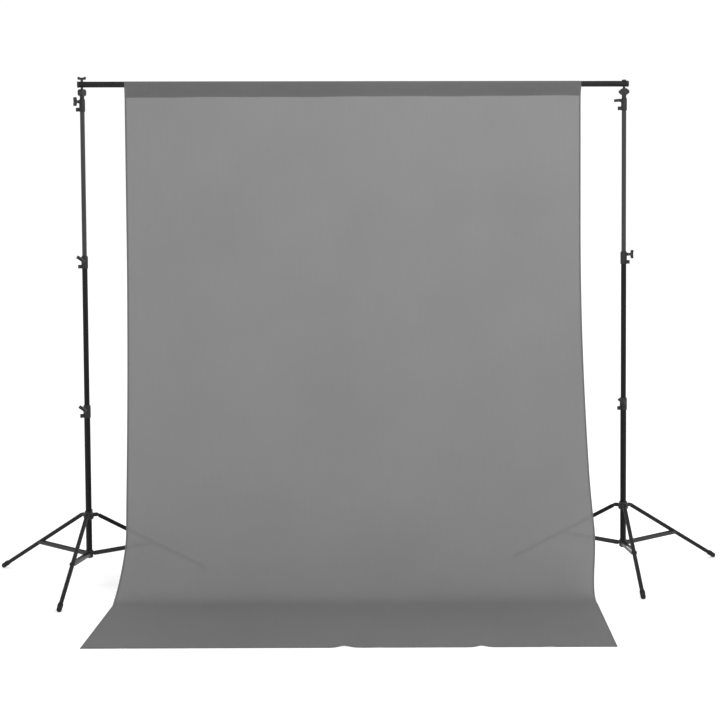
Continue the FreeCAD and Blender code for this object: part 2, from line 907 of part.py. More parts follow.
for side, stand in STANDS.items():
    make_base_tube(f"{side}_base_tube", stand)
    make_base_collar(f"{side}_base_collar", stand)
    COLLAR_PINS.append(make_base_collar_pins(f"{side}_collar_pins", stand))
    make_hub(f"{side}_hub", stand)
    make_hub_pins(f"{side}_hub_pins", stand)
    hub_face = D.hub_diameter / 2 + D.boss_reach - 2
    make_knob(
        f"{side}_hub_knob",
        stand,
        val("hub_height"),
        D.base_tube_od,
        hub_face,
        arm_angle(stand, "front") + 180.0,
        0.0,
    )
    for arm in ARMS:
        make_leg(f"{side}_leg_{arm}", stand, arm)
        make_foot(f"{side}_foot_{arm}", stand, arm)
        make_brace(f"{side}_brace_{arm}", stand, arm)
    for level, (height, lower_tube, upper_tube) in LEVELS.items():
        angle, roll = stand["knobs"][level]
        make_lock(f"{side}_{level}_lock_collar", stand, height, lower_tube, upper_tube, angle)
        make_knob(
            f"{side}_{level}_knob",
            stand,
            number(height + D.lock_length / 2 - D.knob_below_top),
            upper_tube,
            lower_tube / 2 + D.lock_wall + D.boss_reach,
            angle,
            roll,
        )
    seat = D.lock_length / 2 - D.lock_lip
    bottom_one = D.lower_lock_height + D.lock_length / 2 - D.riser_insertion
    bottom_two = D.middle_lock_height + D.lock_length / 2 - D.riser_insertion
    make_riser(
        f"{side}_riser_1", stand, D.riser_one_od, bottom_one, D.middle_lock_height + seat
    )
    make_riser(
        f"{side}_riser_2", stand, D.riser_two_od, bottom_two, D.upper_lock_height + seat
    )
    make_riser(
        f"{side}_riser_3", stand, D.riser_three_od, D.riser_three_bottom, D.riser_three_top
    )
    make_head(f"{side}_head", stand)
    make_stud(f"{side}_stud", stand)

# the six identical collar pins are one group of separate solids
pins = doc.addObject("Part::Compound", "base_collar_pins")
pins.Label = "base_collar_pins"
pins.Links = COLLAR_PINS
PARTS.append(pins)

make_wing_nut("left_wing_nut", STANDS["left"])
make_thumb_nut("right_thumb_nut", STANDS["right"])


# ---------------------------------------------------------------- crossbar


def bar_frame():
    """Turns a body so that its own Z runs along +X at the crossbar's axis."""
    centre = FreeCAD.Vector(val("bar_centre_x"), val("bar_centre_y"), val("bar_height"))
    return FreeCAD.Placement(centre, turn_y(90.0))


def bar_hole(body, along):
    """The upright hole for a stud, through an end of the crossbar."""
    sketch = new_sketch(body, "YZ_Plane")
    circle(sketch, 0, along, D.stud_diameter + 1)
    pocket(body, sketch, D.bar_diameter + 6)


def make_bar_end(name, direction):
    outer = D.bar_diameter / 2
    inner = outer - D.tube_wall
    end = (D.bar_length / 2 - 3) * direction
    start = (D.bar_middle_length / 2) * direction
    body = turned(
        name, [(inner, start), (outer, start), (outer, end), (inner, end)], bar_frame()
    )
    bar_hole(body, D.stand_spacing / 2 * direction)


def make_bar_middle(name):
    outer = D.bar_diameter / 2
    inner = outer - D.tube_wall
    spigot = inner - 0.1
    half = D.bar_middle_length / 2 - 0.2
    far = D.bar_middle_length / 2 + D.bar_joint_length
    turned(
        name,
        [
            (spigot - D.tube_wall, -far),
            (spigot, -far),
            (spigot, -half),
            (outer, -half),
            (outer, half),
            (spigot, half),
            (spigot, far),
            (spigot - D.tube_wall, far),
        ],
        bar_frame(),
    )


def make_bar_caps(name):
    body = new_body(name, bar_frame())
    outer = D.cap_diameter / 2
    inner = D.bar_diameter / 2 - D.tube_wall - 0.05
    for direction in (-1, 1):
        far = (D.bar_length / 2) * direction
        tube_end = (D.bar_length / 2 - 2.9) * direction
        skirt = (D.bar_length / 2 - D.cap_width) * direction
        plug = (D.bar_length / 2 - D.cap_plug) * direction
        lip = D.bar_diameter / 2 + 0.05
        sketch = new_sketch(body, "XZ_Plane")
        outline(
            sketch,
            [
                (0, far),
                (0, plug),
                (inner, plug),
                (inner, tube_end),
                (lip, tube_end),
                (lip, skirt),
                (outer, skirt),
                (outer, far - 1.5 * direction),
                (outer - 1.5, far),
            ],
        )
        revolve(body, sketch)


make_bar_end("crossbar_tube_left", -1)
make_bar_middle("crossbar_tube_middle")
make_bar_end("crossbar_tube_right", 1)
make_bar_caps("crossbar_end_caps")


# ---------------------------------------------------------------- backdrop cloth


def cloth_frame():
    """The cloth hangs a little to the left of the crossbar's middle."""
    x = val("bar_centre_x") - val("cloth_offset")
    return FreeCAD.Placement(FreeCAD.Vector(x, val("bar_centre_y"), 0), FreeCAD.Rotation())


def bend_end():
    """The bend that brings the cloth level with the floor: its radius, reach and start angle."""
    big = val("drop_radius")
    slope = math.asin((val("drop_straight") - val("bend_height")) / big)
    radius = val("bend_height") / (1 - math.sin(slope))
    return radius, big * (math.cos(slope) - 1) - radius * math.cos(slope), slope


def flank(radius, half, foot):
    """Where a straight flank from (half, foot) touches a circle about the crossbar."""
    drop = val("bar_height") - foot
    angle = math.atan2(half, drop) + math.acos(radius / math.hypot(half, drop))
    return radius * math.sin(angle), val("bar_height") - radius * math.cos(angle)


def make_backdrop_lower(name):
    body = new_body(name, cloth_frame())
    half = D.cloth_thickness / 2
    sketch = new_sketch(body, "YZ_Plane")
    radius, floor_y, slope = bend_end()
    thick = val("cloth_thickness")
    top = val("middle_band_bottom") - 0.3
    top_slope = math.asin((val("drop_straight") - top) / val("drop_radius"))
    centre_y = -val("drop_radius")
    big = val("drop_radius")

    def on_big(r, angle):
        return centre_y + r * math.cos(angle), val("drop_straight") - r * math.sin(angle)

    def on_small(r, angle):
        return floor_y + r * math.cos(angle), radius - r * math.sin(angle)

    back_top = on_big(big, top_slope)
    front_top = on_big(big - thick, top_slope)
    back_bend = on_small(radius, slope)
    front_bend = on_small(radius - thick, slope)
    edge = floor_y - val("floor_overlap")
    outline(
        sketch,
        [
            (back_top[0], back_top[1]),
            (back_bend[0], back_bend[1], -big),
            (floor_y, 0.0, -radius),
            (edge, 0.0),
            (edge, thick),
            (floor_y, thick),
            (front_bend[0], front_bend[1], radius - thick),
            (front_top[0], front_top[1], big - thick),
        ],
    )
    pad(body, sketch, D.cloth_width, midplane=True)
    floor = new_sketch(body, "XY_Plane")
    back = floor_y - 5.0
    outline(
        floor,
        [
            (-D.cloth_width / 2, back),
            (D.front_left_x + D.cloth_offset, D.front_left_y),
            (D.front_right_x + D.cloth_offset, D.front_right_y),
            (D.cloth_width / 2, back),
        ],
    )
    pad(body, floor, D.cloth_thickness)


def make_backdrop_band(name, low, high):
    body = new_body(name, cloth_frame())
    sketch = new_sketch(body, "YZ_Plane")
    thick = val("cloth_thickness")
    big = val("drop_radius")

    def on_big(r, height):
        fall = val("drop_straight") - height
        return -big + math.sqrt(r * r - fall * fall), height

    straight = val("drop_straight")
    if low < straight:
        corners = [
            (0.0, high),
            (0.0, straight),
            (on_big(big, low)[0], low, -big),
            (on_big(big - thick, low)[0], low),
            (-thick, straight, big - thick),
            (-thick, high),
        ]
    else:
        corners = [(0.0, high), (0.0, low), (-thick, low), (-thick, high)]
    outline(sketch, corners)
    pad(body, sketch, D.cloth_width, midplane=True)
    return body


def make_backdrop_upper(name):
    """The top band and the rod pocket round the crossbar."""
    body = make_backdrop_band(name, val("middle_band_top") + 0.3, val("pocket_bottom") + 4)
    foot = val("pocket_bottom")
    inner = val("pocket_radius")
    outer = inner + val("cloth_thickness")
    for radius, half, low in ((outer, 1.5, foot), (inner, 0.6, foot + 18)):
        x, z = flank(radius, half, low)
        crown = val("bar_height") + radius
        sketch = new_sketch(body, "YZ_Plane")
        outline(sketch, [(half, low), (x, z), (0.0, crown, radius), (-x, z, radius), (-half, low)])
        if radius == outer:
            pad(body, sketch, D.cloth_width, midplane=True)
        else:
            pocket(body, sketch, D.cloth_width + 10)


make_backdrop_lower("backdrop_lower")
make_backdrop_band("backdrop_middle", val("middle_band_bottom"), val("middle_band_top"))
make_backdrop_upper("backdrop_upper")


# ---------------------------------------------------------------- checks and files

doc.recompute()
for item in doc.Objects:
    if "Invalid" in item.State or "Error" in item.State:
        raise RuntimeError(f"{item.Label} is {item.State}")
box = FreeCAD.BoundBox()
for body in PARTS:
    if body.Shape.isNull() or not body.Shape.isValid():
        raise RuntimeError(f"{body.Label} has no valid shape")
    box.add(body.Shape.BoundBox)
    body.Shape.exportStep(f"parts/{body.Label}.step")
print(f"{len(PARTS)} parts, box {box}")
print(f"leg {LEG_LENGTH:.2f} tilt {LEG_TILT:.3f} brace {BRACE_LENGTH:.2f} tilt {BRACE_TILT:.3f}")
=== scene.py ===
import json
import math

import bpy
from mathutils import Matrix, Vector


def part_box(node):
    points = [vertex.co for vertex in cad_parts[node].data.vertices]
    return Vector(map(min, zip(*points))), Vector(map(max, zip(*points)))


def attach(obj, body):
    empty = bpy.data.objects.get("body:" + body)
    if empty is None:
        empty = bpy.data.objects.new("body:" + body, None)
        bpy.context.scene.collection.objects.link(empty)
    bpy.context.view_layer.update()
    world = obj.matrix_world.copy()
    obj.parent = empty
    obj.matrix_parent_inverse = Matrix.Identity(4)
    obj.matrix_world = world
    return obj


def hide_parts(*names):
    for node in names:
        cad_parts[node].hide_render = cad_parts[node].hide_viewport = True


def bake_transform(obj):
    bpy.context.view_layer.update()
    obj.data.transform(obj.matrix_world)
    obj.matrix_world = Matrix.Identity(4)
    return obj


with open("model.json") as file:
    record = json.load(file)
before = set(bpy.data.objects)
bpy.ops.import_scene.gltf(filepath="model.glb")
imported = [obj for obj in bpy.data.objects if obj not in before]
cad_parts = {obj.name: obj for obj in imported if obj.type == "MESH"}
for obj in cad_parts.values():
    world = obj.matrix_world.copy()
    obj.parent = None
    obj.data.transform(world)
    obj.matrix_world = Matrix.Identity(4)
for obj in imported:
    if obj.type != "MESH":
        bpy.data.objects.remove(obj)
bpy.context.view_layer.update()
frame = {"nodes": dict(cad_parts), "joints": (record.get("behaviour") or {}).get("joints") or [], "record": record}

# ---------------------------------------------------------------- measures, in metres

# the cut cloth, its length measured from the pocket seam to the front edge
CLOTH_WIDTH = 2.484
CLOTH_LENGTH = 3.638
HEM_WIDTH = 0.010
HEM_GAP = 0.0014
# the rod pocket: how far its seam hangs below the crossbar's axis, and its own radius
POCKET_DROP_LEFT = 0.0685
POCKET_DROP_RIGHT = 0.0620
POCKET_RADIUS = 0.0166
# the side profile: upright down to STRAIGHT_END, then a wide sweep, then a tight bend
STRAIGHT_END = 1.950
SWEEP_RADIUS = 4.0
BEND_START = 0.140
FLOOR_LIFT = 0.0019
# how the part on the floor turns and moves to the left, by length down the cloth
FLOOR_TURN = math.radians(4.31)
TURN_START = 2.05
TURN_LENGTH = 0.85
FLOOR_SHIFT_START = 2.35
FLOOR_SHIFT_BEND = 2.84
FLOOR_SHIFT = 0.058
FLOOR_DRIFT = 0.0990
# lowest and highest point of each band, from the floor up
BANDS = ((0.05, 1.22), (1.22, 2.39), (2.39, 2.655))
# mesh and sewing
COLUMNS = 190
ROW_STEP = 0.0125
STITCH_PITCH = 0.006

bar_low, bar_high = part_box("crossbar_tube_middle")
BAR = (bar_low + bar_high) / 2
upper_low, upper_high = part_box("backdrop_upper")
CLOTH_X = (upper_low.x + upper_high.x) / 2
POCKET_DROP = (POCKET_DROP_LEFT + POCKET_DROP_RIGHT) / 2
SEAM_Z = BAR.z - POCKET_DROP


# ---------------------------------------------------------------- materials


def new_material(name):
    material = bpy.data.materials.new(name)
    material.use_nodes = True
    nodes = material.node_tree.nodes
    links = material.node_tree.links
    return material, nodes, links, nodes["Principled BSDF"]


def noise(nodes, links, scale, detail, stretch=(1, 1, 1), source="Object"):
    place = nodes.new("ShaderNodeTexCoord")
    mapping = nodes.new("ShaderNodeMapping")
    mapping.inputs["Scale"].default_value = stretch
    texture = nodes.new("ShaderNodeTexNoise")
    texture.inputs["Scale"].default_value = scale
    texture.inputs["Detail"].default_value = detail
    links.new(place.outputs[source], mapping.inputs["Vector"])
    links.new(mapping.outputs["Vector"], texture.inputs["Vector"])
    return texture


def ramp(nodes, links, value, low, high, start=0.3, end=0.7):
    node = nodes.new("ShaderNodeValToRGB")
    node.color_ramp.elements[0].position = start
    node.color_ramp.elements[1].position = end
    node.color_ramp.elements[0].color = low
    node.color_ramp.elements[1].color = high
    links.new(value, node.inputs["Fac"])
    return node.outputs["Color"]


def spread(nodes, links, value, low, high):
    node = nodes.new("ShaderNodeMapRange")
    node.inputs["To Min"].default_value = low
    node.inputs["To Max"].default_value = high
    links.new(value, node.inputs["Value"])
    return node.outputs["Result"]


def add_bump(nodes, links, shader, height, distance, strength):
    bump = nodes.new("ShaderNodeBump")
    bump.inputs["Distance"].default_value = distance
    bump.inputs["Strength"].default_value = strength
    links.new(height, bump.inputs["Height"])
    links.new(bump.outputs["Normal"], shader.inputs["Normal"])


def grey(value, tint=0.0):
    return (value, value, value * (1 + tint), 1)


def tube_material(name, dark, light, rough, specular):
    """Satin anodised tube, drawn along its length, with faint handling marks."""
    material, nodes, links, shader = new_material(name)
    marks = noise(nodes, links, 9, 4, (1, 1, 0.25))
    links.new(ramp(nodes, links, marks.outputs["Fac"], dark, light), shader.inputs["Base Color"])
    fine = noise(nodes, links, 60, 3, (1, 1, 0.05))
    links.new(
        spread(nodes, links, fine.outputs["Fac"], rough - 0.06, rough + 0.08),
        shader.inputs["Roughness"],
    )
    shader.inputs["Metallic"].default_value = 0.0
    shader.inputs["Specular IOR Level"].default_value = specular
    add_bump(nodes, links, shader, fine.outputs["Fac"], 0.0002, 0.25)
    return material


def plastic_material(name, colour, rough, specular, grain=900):
    """Moulded plastic with a fine sparked texture."""
    material, nodes, links, shader = new_material(name)
    patch = noise(nodes, links, 14, 3)
    darker = tuple(c * 0.75 for c in colour[:3]) + (1,)
    links.new(ramp(nodes, links, patch.outputs["Fac"], darker, colour), shader.inputs["Base Color"])
    texture = noise(nodes, links, grain, 2)
    links.new(
        spread(nodes, links, patch.outputs["Fac"], rough - 0.05, rough + 0.1),
        shader.inputs["Roughness"],
    )
    shader.inputs["Specular IOR Level"].default_value = specular
    add_bump(nodes, links, shader, texture.outputs["Fac"], 0.0002, 0.35)
    return material


def metal_material(name, colour, rough, metallic=1.0):
    material, nodes, links, shader = new_material(name)
    brushed = noise(nodes, links, 300, 2, (1, 1, 0.1))
    links.new(
        spread(nodes, links, brushed.outputs["Fac"], rough - 0.06, rough + 0.1),
        shader.inputs["Roughness"],
    )
    darker = tuple(c * 0.85 for c in colour[:3]) + (1,)
    links.new(ramp(nodes, links, brushed.outputs["Fac"], darker, colour), shader.inputs["Base Color"])
    shader.inputs["Metallic"].default_value = metallic
    add_bump(nodes, links, shader, brushed.outputs["Fac"], 0.0001, 0.2)
    return material


def cloth_material(name, colour, share, gaps):
    """Plain woven muslin that lets some light through, part of it straight between the threads."""
    material, nodes, links, shader = new_material(name)
    place = nodes.new("ShaderNodeTexCoord")
    mottle = noise(nodes, links, 2.2, 5, source="UV")
    slub = noise(nodes, links, 60, 3, (1, 0.08, 1), source="UV")
    shade = nodes.new("ShaderNodeMath")
    shade.operation = "MULTIPLY_ADD"
    shade.inputs[1].default_value = 0.35
    links.new(slub.outputs["Fac"], shade.inputs[0])
    links.new(mottle.outputs["Fac"], shade.inputs[2])
    low = tuple(c * 0.95 for c in colour[:3]) + (1,)
    high = tuple(c * 1.05 for c in colour[:3]) + (1,)
    tone = ramp(nodes, links, shade.outputs["Value"], low, high, 0.35, 1.0)
    links.new(tone, shader.inputs["Base Color"])
    shader.inputs["Roughness"].default_value = 0.95
    shader.inputs["Specular IOR Level"].default_value = 0.08
    shader.inputs["Sheen Weight"].default_value = 0.06
    shader.inputs["Sheen Roughness"].default_value = 0.6
    threads = []
    for direction in ("X", "Y"):
        wave = nodes.new("ShaderNodeTexWave")
        wave.wave_type = "BANDS"
        wave.bands_direction = direction
        wave.inputs["Scale"].default_value = 260
        wave.inputs["Distortion"].default_value = 0.6
        wave.inputs["Detail"].default_value = 1
        links.new(place.outputs["UV"], wave.inputs["Vector"])
        threads.append(wave)
    weave = nodes.new("ShaderNodeMath")
    weave.operation = "MAXIMUM"
    links.new(threads[0].outputs["Fac"], weave.inputs[0])
    links.new(threads[1].outputs["Fac"], weave.inputs[1])
    add_bump(nodes, links, shader, weave.outputs["Value"], 0.00015, 0.3)
    through = nodes.new("ShaderNodeBsdfTranslucent")
    links.new(tone, through.inputs["Color"])
    mix = nodes.new("ShaderNodeMixShader")
    mix.inputs["Fac"].default_value = share
    links.new(shader.outputs["BSDF"], mix.inputs[1])
    links.new(through.outputs["BSDF"], mix.inputs[2])
    clear = nodes.new("ShaderNodeBsdfTransparent")
    weave_mix = nodes.new("ShaderNodeMixShader")
    weave_mix.inputs["Fac"].default_value = gaps
    links.new(mix.outputs["Shader"], weave_mix.inputs[1])
    links.new(clear.outputs["BSDF"], weave_mix.inputs[2])
    links.new(weave_mix.outputs["Shader"], nodes["Material Output"].inputs["Surface"])
    return material


TUBE = tube_material("tube_black_satin", grey(0.0055), grey(0.0085), 0.45, 0.14)
# lighter copy of the black tube finish for the upper risers: painted highlight standing in for the reflections on
# the same black tubes
TUBE_PAINTED_HIGHLIGHT = tube_material("tube_black_painted_highlight", grey(0.030), grey(0.038), 0.42, 0.25)
BAR_TUBE = tube_material("crossbar_black_satin", grey(0.007), grey(0.011), 0.42, 0.18)
STRAP = metal_material("strap_dark", grey(0.055), 0.45, 0.9)
COLLAR = plastic_material("collar_plastic", grey(0.014), 0.5, 0.35)
KNOB = plastic_material("knob_plastic", grey(0.012), 0.42, 0.4)
RUBBER = plastic_material("boot_rubber", grey(0.012), 0.75, 0.25, 500)
STEEL = metal_material("steel_plain", grey(0.42), 0.3)
BLACK_STEEL = metal_material("steel_blackened", grey(0.04), 0.4, 0.8)
CLOTH = cloth_material("muslin_grey", grey(0.190), 0.330, 0.016)
# the pocket's darker grey is painted shade for the backlight that the doubled cloth and the bar inside hold back;
# its smaller gap share is the doubled weave
POCKET_CLOTH_PAINTED_SHADE = cloth_material("muslin_grey_doubled_painted_shade", grey(0.163), 0.330, 0.004)
THREAD = plastic_material("sewing_thread", grey(0.17), 0.9, 0.1)

FINISH_BY_SLOT = {
    "stand_tube": TUBE,
    "crossbar_tube": BAR_TUBE,
    "brace_strap": STRAP,
    "collar_plastic": COLLAR,
    "knob_plastic": KNOB,
    "nut_black": KNOB,
    "pin_steel": STEEL,
    "foot_rubber": RUBBER,
    "backdrop_cloth": CLOTH,
}
# upper risers that take the lighter tube copy, a painted highlight
PAINTED_HIGHLIGHT_TUBES = ("left_riser_2", "left_riser_3", "right_riser_2", "right_riser_3")

for entry in frame["record"]["subparts"]:
    node = frame["nodes"][entry["node"]]
    finish = FINISH_BY_SLOT[entry["material_slot"]]
    if entry["node"] in PAINTED_HIGHLIGHT_TUBES:
        finish = TUBE_PAINTED_HIGHLIGHT
    if "pins" in entry["node"]:
        finish = BLACK_STEEL
    node.data.materials.clear()
    node.data.materials.append(finish)


# ---------------------------------------------------------------- mesh helpers


def add_mesh(name, points, faces, material, smooth=True, uvs=None):
    mesh = bpy.data.meshes.new(name)
    mesh.from_pydata([tuple(p) for p in points], [], faces)
    if uvs is not None:
        layer = mesh.uv_layers.new(name="UVMap")
        for loop in mesh.loops:
            layer.data[loop.index].uv = uvs[loop.vertex_index]
    mesh.materials.append(material)
    for face in mesh.polygons:
        face.use_smooth = smooth
    mesh.update()
    obj = bpy.data.objects.new(name, mesh)
    bpy.context.scene.collection.objects.link(obj)
    return obj


def lathe(name, outline, material, place, segments=40, body="root"):
    """A body of revolution about its own Z from (radius, height) pairs, put at place."""
    points, faces = [], []
    count = len(outline)
    for k in range(segments):
        a = 2 * math.pi * k / segments
        for radius, height in outline:
            points.append(place @ Vector((radius * math.cos(a), radius * math.sin(a), height)))
    for k in range(segments):
        n = (k + 1) % segments
        for j in range(count - 1):
            faces.append((k * count + j, n * count + j, n * count + j + 1, k * count + j + 1))
    obj = add_mesh(name, points, faces, material)
    obj.data.validate()
    soften_edges(obj)
    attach(obj, body)
    return obj


def soften_edges(obj, angle=35):
    obj.data.set_sharp_from_angle(angle=math.radians(angle))


def rim(outer, inner, low, high, round_off=0.0004):
    """A closed ring outline with eased outer corners."""
    return [
        (inner, low),
        (outer - round_off, low),
        (outer, low + round_off),
        (outer, high - round_off),
        (outer - round_off, high),
        (inner, high),
        (inner, low),
    ]


def disc(radius, low, high, round_off=0.0005):
    return [
        (0.0, low),
        (radius - round_off, low),
        (radius, low + round_off),
        (radius, high - round_off),
        (radius - round_off, high),
        (0.0, high),
    ]


def upright(x, y, z=0.0):
    return Matrix.Translation((x, y, z))


def along(direction, origin):
    """A frame whose Z runs along direction."""
    turn = Vector((0, 0, 1)).rotation_difference(Vector(direction)).to_matrix().to_4x4()
    return Matrix.Translation(origin) @ turn


def centre_of(node):
    low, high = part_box(node)
    return (low + high) / 2


# ---------------------------------------------------------------- the cloth


def centre_line(s):
    """The cloth's path at length s below the pocket seam: y, z and the unit tangent."""
    drop = SEAM_Z - STRAIGHT_END
    slope = math.asin((STRAIGHT_END - BEND_START) / SWEEP_RADIUS)
    long_arc = SWEEP_RADIUS * slope
    radius = BEND_START / (1 - math.sin(slope))
    short_arc = radius * (math.pi / 2 - slope)
    if s < drop:
        return 0.0, SEAM_Z - s, 0.0, -1.0
    s -= drop
    if s < long_arc:
        a = s / SWEEP_RADIUS
        y = -SWEEP_RADIUS * (1 - math.cos(a))
        return y, STRAIGHT_END - SWEEP_RADIUS * math.sin(a), -math.sin(a), -math.cos(a)
    s -= long_arc
    y_bend = -SWEEP_RADIUS * (1 - math.cos(slope))
    floor_y = y_bend - radius * math.cos(slope)
    if s < short_arc:
        a = slope + s / radius
        y = floor_y + radius * math.cos(a)
        return y, radius * (1 - math.sin(a)), -math.sin(a), -math.cos(a)
    return floor_y - (s - short_arc), 0.0, -1.0, 0.0


def ease(t):
    t = min(max(t, 0.0), 1.0)
    return t * t * (3 - 2 * t)


def seam_offset(x):
    """How far the pocket's lower seam is from its mean height, across the cloth."""
    share = x / CLOTH_WIDTH
    tilt = (POCKET_DROP_RIGHT - POCKET_DROP_LEFT) * share
    ripple = 0.0011 * math.sin(7.1 * x + 0.6) + 0.0007 * math.sin(16.7 * x + 2.1)
    return -tilt + ripple


# across at the seam, lean per metre down, first and last length down, height
CREASES = (
    (-1.180, 0.237, 0.15, 1.25, 0.0022),
    (-0.727, 0.086, 0.35, 1.15, 0.0014),
    (0.707, -0.314, 0.80, 1.20, 0.0012),
)
CREASE_WIDTH = 0.022


def creases(x, s):
    """Faint slanting pulls in the hanging part."""
    height = 0.0
    for place, lean, first, last, tall in CREASES:
        window = ease((s - first) / 0.15) * ease((last - s) / 0.15)
        height += tall * window * math.exp(-(((x - place - lean * s) / CREASE_WIDTH) ** 2))
    return height


def soft_folds(x, s):
    """Shallow hanging folds and creases, as a distance towards the front."""
    hang = ease(s / 0.5) * (1 - ease((s - 2.2) / 0.8))
    waves = 0.0042 * math.sin(5.3 * x + 0.35 * s + 1.0)
    waves += 0.0026 * math.sin(11.9 * x - 0.8 * s + 2.2)
    waves += 0.0012 * math.sin(23.0 * x + 1.7 * s + 0.4) * math.sin(2.1 * s + 0.5)
    drag = 0.0016 * math.sin(9.0 * (x + 0.55 * s) + 0.8) * ease((s - 0.6) / 1.2)
    pucker = 0.0011 * math.sin(62 * x) * math.sin(9.7 * x + 1) * math.exp(-s / 0.07)
    near_top = 0.0016 * math.sin(14.0 * x + 0.9) * ease(s / 0.05) * math.exp(-s / 0.35)
    return (waves + drag) * hang + pucker * ease(s / 0.01) + near_top + creases(x, s)


# place across, height and half width of each ridge
FRONT_RIPPLES = ((-0.016, 0.0045, 0.026), (0.618, 0.0042, 0.023), (-0.72, 0.0028, 0.030))
FRONT_RIPPLES += ((0.14, 0.0022, 0.034), (0.93, 0.0030, 0.026), (-1.05, 0.0026, 0.028))


RIDGE_LEAN = 0.12
RIDGE_REACH = 0.42
RIDGES_FROM = 2.75
RIDGES_EASE = 0.3


def floor_folds(x, s):
    """Small ridges that run back from the front edge where the cloth lies on the floor."""
    from_front = CLOTH_LENGTH - s
    height = 0.0
    for place, tall, wide in FRONT_RIPPLES:
        drift = place + RIDGE_LEAN * from_front
        fade = math.exp(-((from_front / RIDGE_REACH) ** 2))
        height += tall * fade * math.exp(-(((x - drift) / wide) ** 2))
    on_floor = ease((s - RIDGES_FROM) / RIDGES_EASE)
    calm = 0.0009 * (1 + math.sin(6.1 * x + 2.3 * s)) * (1 + 0.5 * math.sin(4.4 * s - 2 * x))
    return (height + calm * 0.8) * on_floor


# across, reach to each side, distance drawn back
EDGE_PULLS = ((-0.016, 0.034, 0.029), (0.618, 0.029, 0.025))
PULL_DEPTH = 0.16
# lengths down the cloth: where the seam's waviness has gone, and where the floor is near
SEAM_FADE = 0.30
NEAR_FLOOR = 2.3


def edge_pull(x, s):
    """How far the front edge draws back where a ridge takes up cloth."""
    near_edge = math.exp(-(((CLOTH_LENGTH - s) / PULL_DEPTH) ** 2))
    return near_edge * sum(
        back * math.exp(-(((x - place) / wide) ** 2)) for place, wide, back in EDGE_PULLS
    )


def cloth_point(x, s, behind=0.0):
    """A point of the cloth: x across from its middle, s down from the seam."""
    y, z, ty, tz = centre_line(s)
    turn = FLOOR_TURN * ease((s - TURN_START) / TURN_LENGTH)
    bend = ease((s - FLOOR_SHIFT_START) / (FLOOR_SHIFT_BEND - FLOOR_SHIFT_START))
    shift = -FLOOR_DRIFT * max(s - FLOOR_SHIFT_BEND, 0.0) - FLOOR_SHIFT * bend
    seam = seam_offset(x) * (1 - ease(s / SEAM_FADE))
    normal_y, normal_z = tz, -ty
    lift = soft_folds(x, s) - behind
    rise = floor_folds(x, s)
    point = Vector(
        (
            CLOTH_X + shift + x * math.cos(turn),
            BAR.y + y + normal_y * lift - x * math.sin(turn) + edge_pull(x, s),
            z + seam + normal_z * lift,
        )
    )
    point.z = max(point.z, 0.0)
    if s > NEAR_FLOOR:
        point.z = math.hypot(point.z, FLOOR_LIFT) if behind == 0 else point.z
    point.z = max(point.z + rise, FLOOR_LIFT - behind, 0.0004)
    return point


def column_places():
    """Across the cloth: (x, distance behind), with the side hems folded to the back."""
    half = CLOTH_WIDTH / 2
    left = [
        (-half + HEM_WIDTH, HEM_GAP),
        (-half + 0.0012, HEM_GAP),
        (-half, HEM_GAP / 2),
        (-half + 0.0008, 0.0),
    ]
    right = [(-x, b) for x, b in reversed(left)]
    inner = half - 0.006
    middle = [(-inner + 2 * inner * k / COLUMNS, 0.0) for k in range(COLUMNS + 1)]
    return left + middle + right


def row_places(z_high, z_low, last):
    """Down the cloth between two heights: (s, distance behind)."""
    rows = []
    start = 0.0 if z_high > SEAM_Z - 0.001 else length_at(z_high)
    end = CLOTH_LENGTH if last else length_at(z_low)
    count = max(8, int(round((end - start) / ROW_STEP)))
    for k in range(count + 1):
        rows.append((start + (end - start) * k / count, 0.0))
    if last:
        rows[-1] = (CLOTH_LENGTH - 0.0008, 0.0)
        rows.append((CLOTH_LENGTH, HEM_GAP / 2))
        rows.append((CLOTH_LENGTH - 0.0012, HEM_GAP))
        rows.append((CLOTH_LENGTH - HEM_WIDTH, HEM_GAP))
    return rows


def length_at(z):
    """The length down the cloth at which its centre line is at height z."""
    low, high = 0.0, CLOTH_LENGTH
    for _ in range(50):
        middle = (low + high) / 2
        if centre_line(middle)[1] > z:
            low = middle
        else:
            high = middle
    return (low + high) / 2


def cloth_band(name, z_high, z_low, last=False):
    columns = column_places()
    rows = row_places(z_high, z_low, last)
    points, uvs, faces = [], [], []
    for s, under in rows:
        for x, back in columns:
            points.append(cloth_point(x, s, under + back))
            uvs.append((x + CLOTH_WIDTH / 2, s))
    width = len(columns)
    for r in range(len(rows) - 1):
        for c in range(width - 1):
            a = r * width + c
            faces.append((a, a + width, a + width + 1, a + 1))
    return add_mesh(name, points, faces, CLOTH, uvs=uvs)


